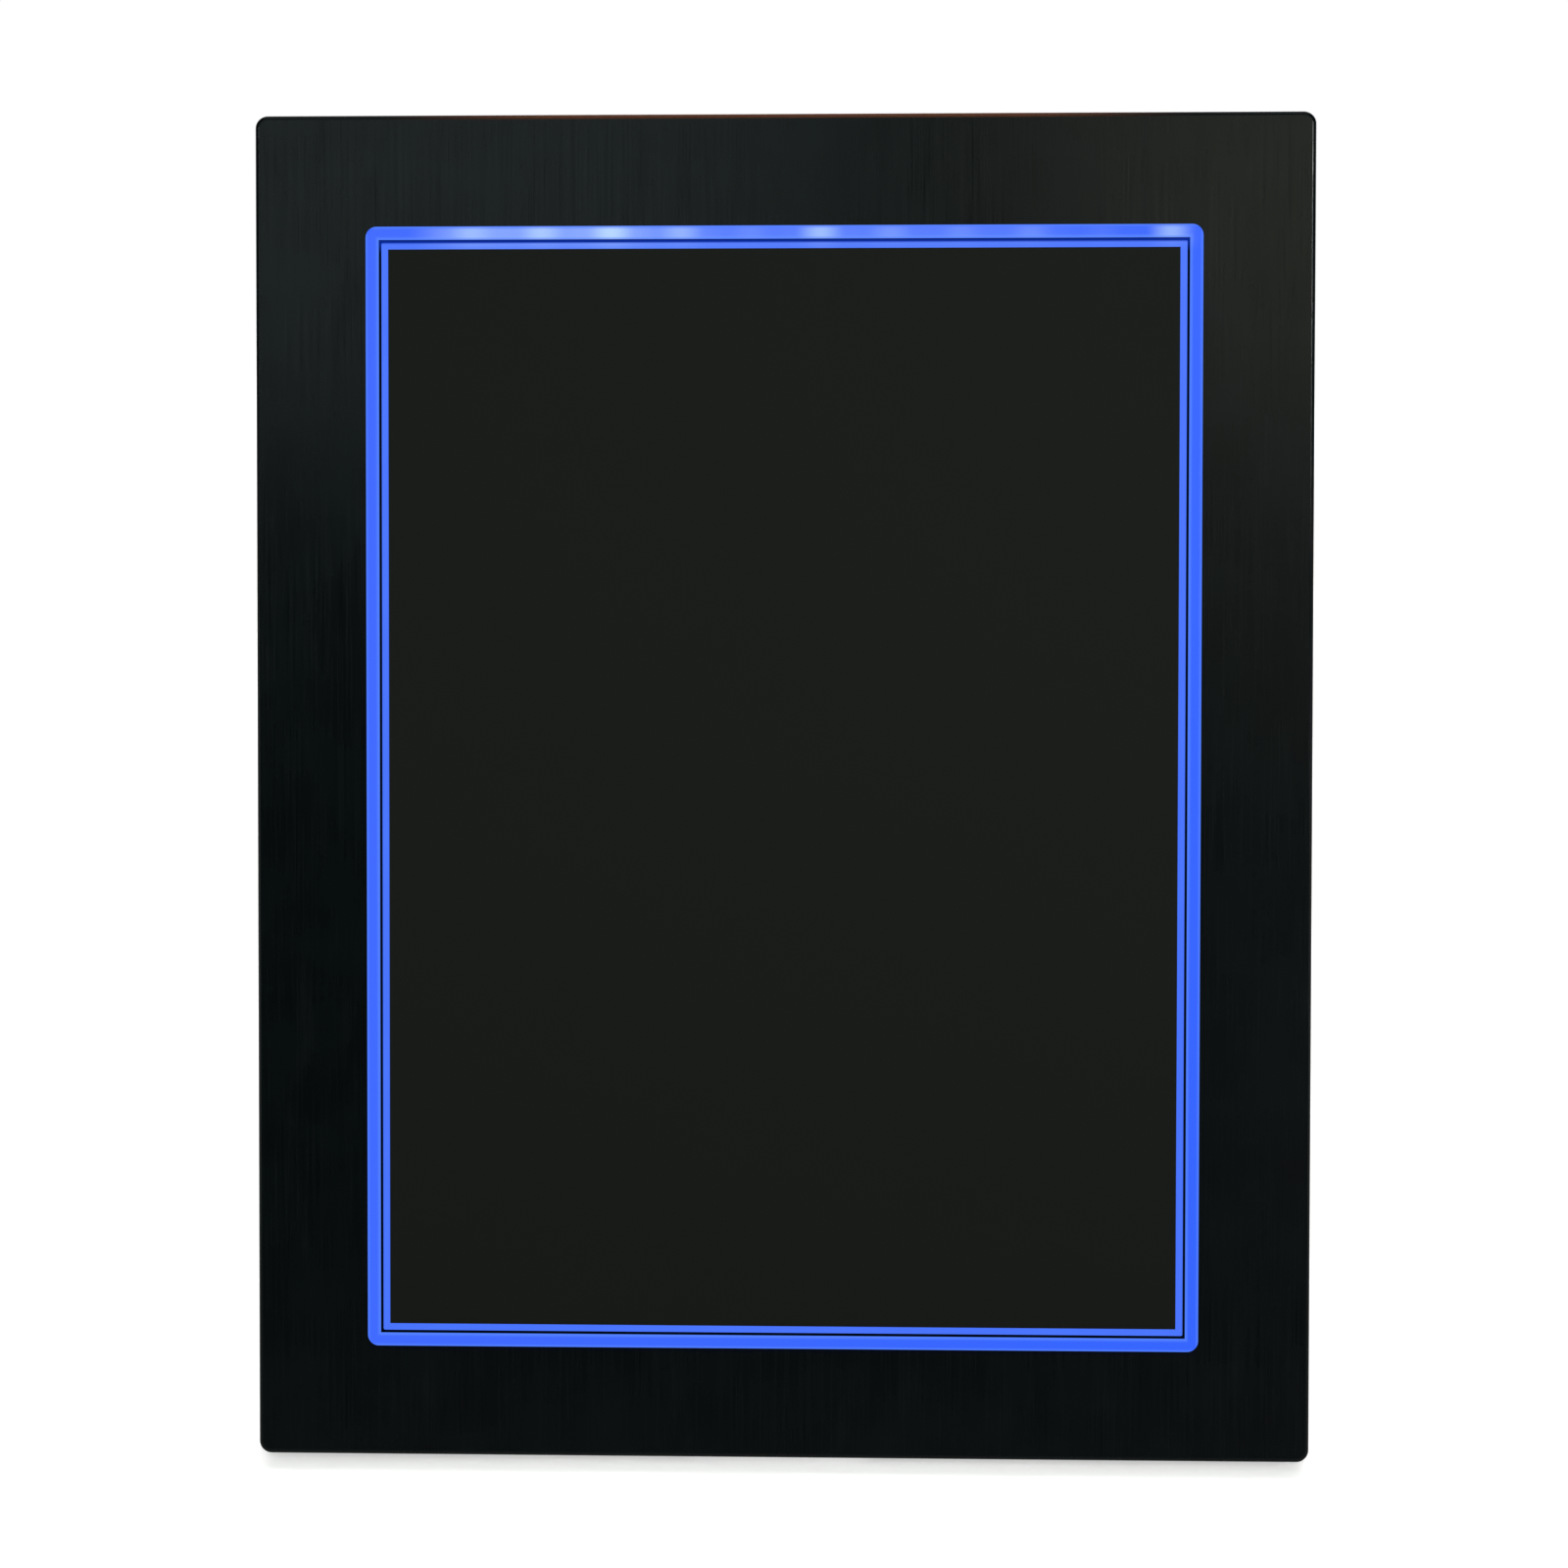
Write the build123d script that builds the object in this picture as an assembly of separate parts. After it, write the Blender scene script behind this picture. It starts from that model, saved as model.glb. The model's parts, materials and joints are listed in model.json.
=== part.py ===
from build123d import *
import math
import os

os.makedirs("parts", exist_ok=True)

# Sizes are in millimetres and degrees. The board is drawn upright: X runs across it,
# Z up its face and Y from front to back, with Y at 0 on the face and Z at 0 on the
# bottom edge. An inset is a distance inwards from the outer edge of the face.
# At the end everything is leant back to stand on the base pads and the leg.

# Face
board_width = 380.0
board_height = 484.0
border_width = 40.0
face_corner_radius = 4.5
face_thickness = 2.0
face_edge_share = 0.85
opening_corner_radius = 4.0
opening_clearance = 0.15

# Lit ring, black seam and writing panel
ring_width = 4.8
ring_proud = 1.5
ring_outer_round = 1.2
ring_inner_round = 0.5
flange_width = 3.7
flange_thickness = 1.5
seam_width = 0.8
seam_recess = 0.4
glow_margin = 2.6
guide_front_thickness = 3.3
guide_rear_thickness = 2.7
guide_corner_radius = 0.6
guide_edge_chamfer = 0.2
sheet_thickness = 1.0
sheet_edge_chamfer = 0.15
reflector_thickness = 0.4
backing_thickness = 3.0
foam_thickness = 1.4
foam_width = 6.0

# Front frame
side_wall = 2.5
web_thickness = 3.0
inner_corner_radius = 2.0
channel_wall = 2.0
channel_clearance = 0.3
boss_radius = 3.6
boss_hole_radius = 1.35
boss_hole_depth = 10.0
rib_thickness = 1.6
rear_edge_chamfer = 0.6
fit_gap = 0.3

# Lighting
rail_thickness = 1.5
rail_height = 6.0
rail_drop = 0.5
led_board_thickness = 1.0
led_thickness = 1.2
led_length = 3.5
led_height = 3.0
led_pitch = 25.0
led_side_gap = 0.9
top_led_shift = 2.5
corner_wire_run = 4.0
wire_radius = 0.6
wire_bend_radius = 1.8
wire_spacing = 2.4

# Rear cover
cover_thickness = 2.2
cover_corner_radius = 2.0
cover_edge_chamfer = 0.5
cover_rib_inset = 60.0
cover_rib_thickness = 2.4
pocket_floor_thickness = 2.0
pocket_wall = 2.0
screw_hole_radius = 1.6
screw_sink_radius = 3.2
screw_sink_depth = 1.2
vent_count = 7
vent_width = 2.0
vent_length = 18.0
vent_pitch = 5.0
vent_rise = 73.0

# Screws
screw_head_radius = 2.8
screw_head_height = 1.5
screw_shank_radius = 1.3
screw_shank_length = 9.0
cross_width = 0.7
cross_length = 3.0
cross_depth = 0.8

# Hanging plates and wall bumpers
keyhole_side_inset = 78.0
keyhole_plate_width = 36.0
keyhole_plate_height = 24.0
keyhole_plate_thickness = 1.5
keyhole_entry_radius = 4.5
keyhole_slot_radius = 2.25
keyhole_rise = 8.0
keyhole_margin = 1.5
keyhole_pad_depth = 5.0
keyhole_screw_offset = 13.5
small_screw_head_radius = 2.2
small_screw_head_height = 1.0
small_screw_shank_radius = 1.0
small_screw_shank_length = 4.5
bumper_radius = 6.0
bumper_thickness = 2.6
bumper_sink = 0.6
bumper_round = 0.6
bumper_inset = 34.0

# Stance
lean_angle = 15.0
leg_splay_angle = 7.0
pad_side_inset = 50.0
pad_length = 60.0
pad_depth = 5.0
pad_rear_gap = 0.5
pad_sink = 0.8
pad_drop = 1.2

# Leg and its hinge
hinge_height = 300.0
leg_width = 60.0
leg_thickness = 6.0
leg_gap = 0.5
leg_rim = 7.0
leg_skin = 2.5
leg_rib_thickness = 2.0
leg_rib_count = 5
leg_top_rest = 14.0
leg_corner_radius = 6.0
leg_edge_chamfer = 0.8
leg_pad_width = 44.0
leg_pad_height = 3.6
tongue_width = 36.0
tongue_thickness = 2.0
tongue_height = 3.0
heel_height = 5.0
heel_gap = 1.5
stop_gap = 0.15
pin_radius = 1.5
pin_clearance = 0.05
pin_head_radius = 2.4
pin_head_thickness = 0.7
ear_thickness = 1.5
ear_gap = 0.3
ear_side_gap = 1.3
ear_floor_gap = 0.2
seat_height = 2.0
bracket_thickness = 1.2
bracket_plate_height = 18.0
hinge_screw_offset = 18.0
hinge_screw_shank_length = 3.4

# Control board, its buttons and the power inlet
board_centre_drop = 97.0
control_length = 122.0
control_width = 26.0
control_thickness = 1.6
control_standoff = 3.0
standoff_radius = 2.6
control_screw_inset = 3.4
button_count = 3
button_pitch = 22.0
button_first_rise = -2.0
button_radius = 5.0
button_gap = 0.3
button_proud = 1.0
button_travel = 0.8
button_flange_width = 1.4
button_flange_thickness = 1.0
button_flange_gap = 0.2
button_stem_radius = 2.0
button_dish_depth = 0.35
button_dish_margin = 1.4
button_edge_round = 0.4
switch_side = 6.2
switch_height = 3.6
plunger_radius = 1.7
plunger_stop_gap = 0.1
plunger_length = 1.8
plunger_gap = 0.15
plunger_spare = 0.3
jack_drop = 44.0
jack_width = 9.4
jack_length = 11.4
jack_base_height = 6.0
jack_collar_radius = 4.6
jack_collar_gap = 0.3
jack_recess = 0.3
jack_bore_radius = 3.1
jack_bore_depth = 8.2
jack_contact_radius = 1.0
jack_contact_recess = 1.0
jack_contact_seat = 1.0
header_width = 6.0
header_length = 8.0
header_height = 6.4
header_rise = 51.0
header_wall_gap = 4.5
feed_wire_drop = 1.8
feed_notch_width = 7.0
chip_rise = -24.0
chip_width = 6.0
chip_length = 9.0
chip_height = 1.7
capacitor_rise = -33.0
capacitor_shift = -7.5
capacitor_radius = 3.2
capacitor_height = 7.0
capacitor_round = 0.5

# One overrun for every cut that goes right through, and the slack in finding edges by place
overrun = 1.0
place_slack = 0.01

# The face's front edge is rounded over most of its thickness
face_edge_radius = face_edge_share * face_thickness

# Depths from the face, front to back
face_back = face_thickness
flange_back = face_back + flange_thickness
web_back = face_back + web_thickness
guide_front = flange_back - guide_front_thickness
guide_back = flange_back + guide_rear_thickness
sheet_front = guide_front - sheet_thickness
reflector_back = guide_back + reflector_thickness
backing_back = reflector_back + backing_thickness
foam_back = backing_back + foam_thickness
pocket_floor = foam_back + pocket_floor_thickness
pin_depth = pocket_floor + leg_gap + leg_thickness / 2
cover_back = pin_depth + leg_thickness / 2 + leg_gap
cover_front = cover_back - cover_thickness
rail_front = flange_back + rail_drop
rail_back = rail_front + rail_height

# Insets from the outer edge of the face
ring_inset = border_width
ring_inner_inset = ring_inset + ring_width
flange_inset = ring_inset - flange_width
guide_inset = ring_inner_inset + seam_width
sheet_inset = guide_inset + glow_margin
channel_wall_inset = flange_inset - channel_clearance
channel_inset = channel_wall_inset + channel_wall
led_board_inset = channel_inset + rail_thickness
led_inset = led_board_inset + led_board_thickness
guide_rear_inset = led_inset + led_thickness + led_side_gap
cover_inset = side_wall + fit_gap
cavity_inset = (side_wall + channel_wall_inset) / 2

# The leg's pocket, open at the bottom edge
bracket_half_width = leg_width / 2 + ear_gap + ear_thickness
pocket_half_width = bracket_half_width + ear_side_gap
tray_half_width = pocket_half_width + pocket_wall
bracket_bottom = hinge_height + heel_height + heel_gap
bracket_top = bracket_bottom + bracket_plate_height
pocket_top = bracket_top + heel_gap
seat_back = pocket_floor + seat_height
bracket_back = seat_back + bracket_thickness
ear_front = pocket_floor + ear_floor_gap
ear_radius = pin_depth - ear_front

# The floor in the upright frame: a plane that passes below the rear bottom edge
lean = math.radians(lean_angle)
splay = math.radians(leg_splay_angle)
opening_angle = lean_angle + leg_splay_angle
floor_level = -pad_drop * math.cos(lean) - cover_back * math.sin(lean)
pin_rise = hinge_height * math.cos(lean) - pin_depth * math.sin(lean) - floor_level
leg_length = pin_rise / math.cos(splay)
leg_body_length = leg_length - leg_pad_height

# Places across the back
pad_offset = board_width / 2 - pad_side_inset
keyhole_offset = board_width / 2 - keyhole_side_inset
top_screw_offset = (tray_half_width + keyhole_offset - keyhole_plate_width / 2) / 2

# Control board places
control_x = board_width / 2 - cavity_inset
board_centre_height = board_height / 2 - board_centre_drop
control_front = web_back + control_standoff
control_back = control_front + control_thickness
switch_back = control_back + switch_height
plunger_proud = button_travel + plunger_stop_gap
plunger_back = switch_back + plunger_proud
button_flange_front = cover_front - button_flange_gap - button_flange_thickness
button_heights = [
    board_centre_height + button_first_rise + button_pitch * index for index in range(button_count)
]
jack_z = board_centre_height - jack_drop
jack_back = cover_back - jack_recess
header_z = board_centre_height + header_rise
wire_depth = control_back + header_height - feed_wire_drop
header_inner_x = board_width / 2 - channel_wall_inset + header_wall_gap


def prism(outline, front, back):
    """Solid of an X-Z outline between two depths."""
    plane = Plane(origin=(0, back, 0), x_dir=(1, 0, 0), z_dir=(0, -1, 0))
    return extrude(plane * outline, back - front)


def side_plane(x):
    """Plane across the board at X, for outlines in depth and height."""
    return Plane(origin=(x, 0, 0), x_dir=(0, 1, 0), z_dir=(1, 0, 0))


def block(x, y, z):
    """Box between pairs of X, Y and Z values."""
    size = (x[1] - x[0], y[1] - y[0], z[1] - z[0])
    return Pos(x[0], y[0], z[0]) * Box(*size, align=(Align.MIN, Align.MIN, Align.MIN))


def rod(radius, x, z, front, back):
    """Cylinder that runs from front to back."""
    return prism(Pos(x, z) * Circle(radius), front, back)


def cross_rod(radius, x_low, x_high, y, z):
    """Cylinder that runs across the board."""
    middle = (x_low + x_high) / 2
    return Pos(middle, y, z) * Cylinder(radius, x_high - x_low, rotation=(0, 90, 0))


def panel(inset, radius, front, back):
    """Plate as large as the face, less the inset on every side."""
    width = board_width - 2 * inset
    height = board_height - 2 * inset
    outline = RectangleRounded(width, height, radius) if radius > 0 else Rectangle(width, height)
    return prism(Pos(0, board_height / 2) * outline, front, back)


def band(outer_inset, outer_radius, inner_inset, inner_radius, front, back):
    """Rectangular ring between two insets."""
    hole = panel(inner_inset, inner_radius, front - overrun, back + overrun)
    return panel(outer_inset, outer_radius, front, back) - hole


def edges_at(shape, depth):
    """Edges of a shape that lie in one plane across the depth."""
    return shape.edges().filter_by_position(Axis.Y, depth - place_slack, depth + place_slack)


def slot_outline(radius, rise):
    """Upright slot whose lower end is centred on the origin."""
    return Circle(radius) + Pos(0, rise) * Circle(radius) + Pos(0, rise / 2) * Rectangle(2 * radius, rise)


def screw(x, z, head_front, head_radius, head_height, shank_radius, shank_length):
    """Pan-head screw driven forwards, with a cross recess."""
    head_back = head_front + head_height
    head = rod(head_radius, x, z, head_front, head_back)
    head = fillet(edges_at(head, head_back), head_height / 3)
    head_ratio = head_radius / screw_head_radius
    half_length = cross_length * head_ratio / 2
    half_width = cross_width * head_ratio / 2
    cut = (head_back - cross_depth * head_height / screw_head_height, head_back + overrun)
    across = block((x - half_length, x + half_length), cut, (z - half_width, z + half_width))
    upright = block((x - half_width, x + half_width), cut, (z - half_length, z + half_length))
    return head + rod(shank_radius, x, z, head_front - shank_length, head_front) - across - upright


def joined(solids):
    """Group of separate solids in one piece."""
    return Compound(solids)


# Places that repeat
def cover_screw_places():
    """Corners, middle of both sides, and two each along the top and bottom."""
    side = board_width / 2 - cavity_inset
    low = cavity_inset
    high = board_height - cavity_inset
    places = [(sign * side, z) for sign in (-1, 1) for z in (low, board_height / 2, high)]
    return places + [(sign * top_screw_offset, z) for sign in (-1, 1) for z in (low, high)]


def control_screw_places():
    """Four corners of the control board."""
    across = control_width / 2 - control_screw_inset
    along = control_length / 2 - control_screw_inset
    return [
        (control_x + i * across, board_centre_height + j * along) for i in (-1, 1) for j in (-1, 1)
    ]


def keyhole_height():
    """Centre of the hanging plates, in the top border."""
    return board_height - cavity_inset


def bumper_places():
    """One bumper near each corner of the cover."""
    side = board_width / 2 - cavity_inset
    heights = (bumper_inset + cavity_inset, board_height - bumper_inset - cavity_inset)
    return [(sign * side, z) for sign in (-1, 1) for z in heights]


# Face, ring and writing panel
def face_plate():
    """Sheet with rounded front edges and one opening."""
    plate = panel(0, face_corner_radius, 0, face_back)
    plate = fillet(edges_at(plate, 0), face_edge_radius)
    hole_inset = ring_inset - opening_clearance
    hole_radius = opening_corner_radius + opening_clearance
    return plate - panel(hole_inset, hole_radius, -overrun, face_back + overrun)


def is_inner(edge):
    """Whether an edge lies on the inner side of the ring."""
    middle_inset = (ring_inset + ring_inner_inset) / 2
    inside_across = abs(edge.center().X) < board_width / 2 - middle_inset
    inside_upright = abs(edge.center().Z - board_height / 2) < board_height / 2 - middle_inset
    return inside_across and inside_upright


def diffuser_ring():
    """Crowned ring that stands proud of the face, with a flange behind the face plate."""
    crown = band(ring_inset, opening_corner_radius, ring_inner_inset, 0, -ring_proud, flange_back)
    outer = [edge for edge in edges_at(crown, -ring_proud) if not is_inner(edge)]
    crown = fillet(outer, ring_outer_round)
    inner = [edge for edge in edges_at(crown, -ring_proud) if is_inner(edge)]
    crown = fillet(inner, ring_inner_round)
    flange = band(flange_inset, opening_corner_radius, ring_inner_inset, 0, face_back, flange_back)
    return crown + flange


def seam_gasket():
    """Thin black strip between the ring and the light guide."""
    front = guide_front + seam_recess
    return band(ring_inner_inset, 0, guide_inset, guide_corner_radius, front, flange_back)


def light_guide():
    """Clear slab: its front stands in the ring, its wider rear part bears on the ring's flange."""
    front = panel(guide_inset, guide_corner_radius, guide_front, flange_back)
    front = chamfer(edges_at(front, guide_front), guide_edge_chamfer)
    return front + panel(guide_rear_inset, guide_corner_radius, flange_back, guide_back)


def writing_sheet():
    """Black sheet laid on the light guide."""
    sheet = panel(sheet_inset, 0, sheet_front, guide_front)
    return chamfer(edges_at(sheet, sheet_front), sheet_edge_chamfer)


def reflector_sheet():
    """Thin white sheet behind the light guide."""
    return panel(guide_rear_inset, guide_corner_radius, guide_back, reflector_back)


def backing_board():
    """Stiff board behind the reflector."""
    return panel(guide_rear_inset, guide_corner_radius, reflector_back, backing_back)


def foam_strips():
    """Four strips that the ribs of the cover press on the backing board."""
    centre = cover_rib_inset + cover_rib_thickness / 2
    across = board_width / 2 - centre
    half = foam_width / 2
    depth = (backing_back, foam_back)
    low = centre
    high = board_height - centre
    flat = [block((-across - half, across + half), depth, (z - half, z + half)) for z in (low, high)]
    upright = [
        block((x - half, x + half), depth, (low + half, high - half)) for x in (-across, across)
    ]
    return joined(flat + upright)


# Front frame
def front_frame():
    """Moulded tray behind the face: web, side walls, channel wall, bosses and ribs."""
    frame = panel(0, face_corner_radius, face_back, cover_back)
    frame = chamfer(edges_at(frame, cover_back), rear_edge_chamfer)
    frame -= panel(side_wall, inner_corner_radius, web_back, cover_back + overrun)
    frame -= panel(channel_wall_inset, 0, face_back - overrun, web_back + overrun)
    frame += band(channel_wall_inset, 0, channel_inset, 0, flange_back, cover_front)
    for x, z in cover_screw_places():
        frame += rod(boss_radius, x, z, web_back, cover_front)
        frame += boss_rib(x, z)
    for x, z in control_screw_places():
        frame += rod(standoff_radius, x, z, web_back, control_front)
    for x, z in cover_screw_places():
        frame -= rod(boss_hole_radius, x, z, cover_front - boss_hole_depth, cover_front + overrun)
    for x, z in control_screw_places():
        hole_front = control_back - small_screw_shank_length - fit_gap
        frame -= rod(small_screw_shank_radius, x, z, hole_front, control_front + overrun)
    for sign in (-1, 1):
        frame -= pad_space(sign)
    frame -= pocket_notch()
    frame -= wire_notch()
    return frame


def boss_rib(x, z):
    """Rib from the side wall through a boss to the channel wall."""
    half = rib_thickness / 2
    depth = (web_back, (web_back + cover_front) / 2)
    near = side_wall
    far = channel_wall_inset
    if abs(x) < board_width / 2 - border_width:
        edges = (near, far) if z < board_height / 2 else (board_height - far, board_height - near)
        return block((x - half, x + half), depth, edges)
    edges = (-board_width / 2 + near, -board_width / 2 + far)
    if x > 0:
        edges = (board_width / 2 - far, board_width / 2 - near)
    return block(edges, depth, (z - half, z + half))


def pad_space(sign):
    """Shallow recess in the bottom edge for a base pad."""
    rear = cover_back - pad_rear_gap
    across = (sign * pad_offset - pad_length / 2, sign * pad_offset + pad_length / 2)
    return block(across, (rear - pad_depth, rear), (-overrun, pad_sink))


def pocket_notch():
    """Way through the bottom wall and the channel wall for the leg's pocket."""
    half = tray_half_width + fit_gap
    depth = (foam_back - fit_gap, cover_back + overrun)
    return block((-half, half), depth, (-overrun, channel_inset + overrun))


def wire_notch():
    """Way through the right channel wall for the feed wires."""
    half = feed_notch_width / 2
    across = (board_width / 2 - channel_inset - overrun, board_width / 2 - channel_wall_inset + overrun)
    depth = (rail_back + fit_gap, cover_front + overrun)
    return block(across, depth, (header_z - half, header_z + half))


# Lighting
def light_side(side):
    """Half length, place and turn of the lights on one side of the channel."""
    across = board_width / 2 - led_board_inset - led_board_thickness / 2 - corner_wire_run
    upright = board_height / 2 - led_board_inset - led_board_thickness / 2 - corner_wire_run
    turns = {"bottom": 0, "right": 90, "top": 180, "left": 270}
    half_length = across if side in ("top", "bottom") else upright
    reach = board_height / 2 if side in ("top", "bottom") else board_width / 2
    return half_length, reach, turns[side]


def on_side(shape, side):
    """Shape drawn along the bottom of the board, turned to its side."""
    reach, turn = light_side(side)[1:]
    centred = Pos(0, 0, -reach) * shape
    return Pos(0, 0, board_height / 2) * Rot(0, -turn, 0) * centred


def led_rail(side):
    """Flat metal strip on the channel wall."""
    half = light_side(side)[0]
    rail = block((-half, half), (rail_front, rail_back), (channel_inset, led_board_inset))
    return on_side(rail, side)


def led_board(side):
    """Narrow circuit board on the rail."""
    half = light_side(side)[0]
    board = block((-half, half), (rail_front, rail_back), (led_board_inset, led_inset))
    return on_side(board, side)


def led_places(side):
    """Places along one side, a pitch apart, of every light that has room."""
    half = light_side(side)[0]
    shift = -top_led_shift if side == "top" else 0
    room = half - abs(shift) - led_length / 2
    count = math.floor(2 * room / led_pitch) + 1
    return [shift + led_pitch * (index - (count - 1) / 2) for index in range(count)]


def led_chips(side):
    """Row of lights that face the edge of the light guide."""
    half = led_length / 2
    depth = (rail_front + fit_gap, rail_front + fit_gap + led_height)
    upright = (led_inset, led_inset + led_thickness)
    chips = [block((x - half, x + half), depth, upright) for x in led_places(side)]
    return joined([on_side(chip, side) for chip in chips])


def wire(points, bend_radius):
    """Round wire along straight runs joined by arcs."""
    path = FilletPolyline(*points, radius=bend_radius)
    start = path.position_at(0)
    section = Plane(origin=start, z_dir=path.tangent_at(0)) * Circle(wire_radius)
    return sweep(section, path=path)


def corner_jumpers():
    """Pairs of wires from one light board to the next, at three corners."""
    centre = led_board_inset + led_board_thickness / 2
    across = board_width / 2 - centre
    high = board_height - centre
    middle = (rail_front + rail_back) / 2
    corners = [(1, high, -1), (1, centre, 1), (-1, centre, 1)]
    wires = []
    for sign, z, step in corners:
        for depth in (middle - wire_spacing / 2, middle + wire_spacing / 2):
            first = (sign * (across - corner_wire_run), depth, z)
            corner = (sign * across, depth, z)
            last = (sign * across, depth, z + step * corner_wire_run)
            wires.append(wire([first, corner, last], wire_bend_radius))
    return joined(wires)


def feed_wires():
    """Two wires from the header, over the channel wall, to the right light board."""
    centre = led_board_inset + led_board_thickness / 2
    board_edge = board_width / 2 - centre
    wires = []
    for z in (header_z - wire_spacing / 2, header_z + wire_spacing / 2):
        first = (header_inner_x, wire_depth, z)
        corner = (board_edge, wire_depth, z)
        last = (board_edge, rail_back, z)
        wires.append(wire([first, corner, last], wire_bend_radius))
    return joined(wires)


# Rear cover and what is on it
def rear_cover():
    """Back of the board: ribs, the leg's pocket, vents and openings."""
    plate = panel(cover_inset, cover_corner_radius, cover_front, cover_back)
    cover = chamfer(edges_at(plate, cover_back), cover_edge_chamfer)
    rib_inner_inset = cover_rib_inset + cover_rib_thickness
    cover += band(cover_rib_inset, 0, rib_inner_inset, 0, foam_back, cover_front)
    tray_depth = (foam_back, cover_back)
    cover += block((-tray_half_width, tray_half_width), tray_depth, (0, pocket_top + pocket_wall))
    void_depth = (pocket_floor, cover_back + overrun)
    cover -= block((-pocket_half_width, pocket_half_width), void_depth, (-overrun, pocket_top))
    seat_half_width = leg_width / 2 - ear_gap
    seat_depth = (pocket_floor, seat_back)
    cover += block((-seat_half_width, seat_half_width), seat_depth, (bracket_bottom, pocket_top))
    screw_front = bracket_back - hinge_screw_shank_length - fit_gap
    for x, z in hinge_screw_places():
        cover -= rod(small_screw_shank_radius, x, z, screw_front, seat_back + overrun)
    for sign in (-1, 1):
        cover += keyhole_pad(sign)
        cover -= keyhole_space(sign)
    for x, z in cover_screw_places():
        cover -= rod(screw_hole_radius, x, z, cover_front - overrun, cover_back)
        cover -= rod(screw_sink_radius, x, z, cover_back - screw_sink_depth, cover_back + overrun)
    for x, z in bumper_places():
        cover -= rod(bumper_radius, x, z, cover_back - bumper_sink, cover_back + overrun)
    for z in button_heights:
        cover -= rod(button_radius + button_gap, control_x, z, cover_front - overrun, cover_back + overrun)
    collar_hole = jack_collar_radius + jack_collar_gap
    cover -= rod(collar_hole, control_x, jack_z, cover_front - overrun, cover_back + overrun)
    cover -= vents()
    return cover


def hinge_screw_places():
    """Two screws across the bracket."""
    z = (bracket_bottom + bracket_top) / 2
    return [(-hinge_screw_offset, z), (hinge_screw_offset, z)]


def keyhole_pad(sign):
    """Thicker patch inside the cover that takes the hanging plate's screws."""
    half_width = keyhole_plate_width / 2
    half_height = keyhole_plate_height / 2
    x = sign * keyhole_offset
    z = keyhole_height()
    depth = (cover_front - keyhole_pad_depth, cover_front)
    return block((x - half_width, x + half_width), depth, (z - half_height, z + half_height))


def keyhole_outline(margin):
    """Entry hole with a narrower slot above it."""
    entry = Circle(keyhole_entry_radius + margin)
    return entry + slot_outline(keyhole_slot_radius + margin, keyhole_rise)


def keyhole_shift():
    """Rise of the entry hole's centre over the plate's centre."""
    return -keyhole_rise / 2


def keyhole_screw_places(sign):
    """One screw on each side of the keyhole."""
    x = sign * keyhole_offset
    z = keyhole_height()
    return [(x - keyhole_screw_offset, z), (x + keyhole_screw_offset, z)]


def keyhole_space(sign):
    """Seat of the hanging plate, the room behind its keyhole, and its screw holes."""
    x = sign * keyhole_offset
    z = keyhole_height()
    seat_front = cover_back - keyhole_plate_thickness
    outline = Pos(x, z) * RectangleRounded(keyhole_plate_width, keyhole_plate_height, cover_corner_radius)
    space = prism(outline, seat_front, cover_back + overrun)
    through = Pos(x, z + keyhole_shift()) * keyhole_outline(keyhole_margin)
    space += prism(through, cover_front - keyhole_pad_depth - overrun, cover_back)
    for screw_x, screw_z in keyhole_screw_places(sign):
        front = cover_back - small_screw_shank_length - fit_gap
        space += rod(small_screw_shank_radius, screw_x, screw_z, front, cover_back)
    return space


def keyhole_plate(sign):
    """Steel hanging plate with a keyhole."""
    x = sign * keyhole_offset
    z = keyhole_height()
    seat_front = cover_back - keyhole_plate_thickness
    outline = RectangleRounded(keyhole_plate_width, keyhole_plate_height, cover_corner_radius)
    outline -= Pos(0, keyhole_shift()) * keyhole_outline(0)
    plate = prism(Pos(x, z) * outline, seat_front, cover_back)
    for screw_x, screw_z in keyhole_screw_places(sign):
        plate -= rod(small_screw_shank_radius, screw_x, screw_z, seat_front - overrun, cover_back + overrun)
    return plate


def keyhole_screws():
    """Four short screws that hold the hanging plates."""
    places = [place for sign in (-1, 1) for place in keyhole_screw_places(sign)]
    return joined([small_screw(x, z, cover_back, small_screw_shank_length) for x, z in places])


def small_screw(x, z, head_front, shank_length):
    """Small pan-head screw."""
    radius = small_screw_head_radius
    height = small_screw_head_height
    return screw(x, z, head_front, radius, height, small_screw_shank_radius, shank_length)


def vents():
    """Row of slots above the control board."""
    first = board_centre_height + vent_rise - vent_pitch * (vent_count - 1) / 2
    slots = []
    for index in range(vent_count):
        outline = Pos(control_x, first + vent_pitch * index) * SlotOverall(vent_length, vent_width)
        slots.append(prism(outline, cover_front - overrun, cover_back + overrun))
    return joined(slots)


def cover_screws():
    """Screws that hold the cover to the frame."""
    head_front = cover_back - screw_sink_depth
    radius = screw_head_radius
    shank = (screw_shank_radius, screw_shank_length)
    places = cover_screw_places()
    return joined([screw(x, z, head_front, radius, screw_head_height, *shank) for x, z in places])


def wall_bumpers():
    """Rubber discs that keep the back off the wall."""
    front = cover_back - bumper_sink
    discs = []
    for x, z in bumper_places():
        disc = rod(bumper_radius, x, z, front, front + bumper_thickness)
        discs.append(fillet(edges_at(disc, front + bumper_thickness), bumper_round))
    return joined(discs)


def floor_height(depth):
    """Height in the upright frame at which the floor passes at a depth."""
    return (floor_level + depth * math.sin(lean)) / math.cos(lean)


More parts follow.
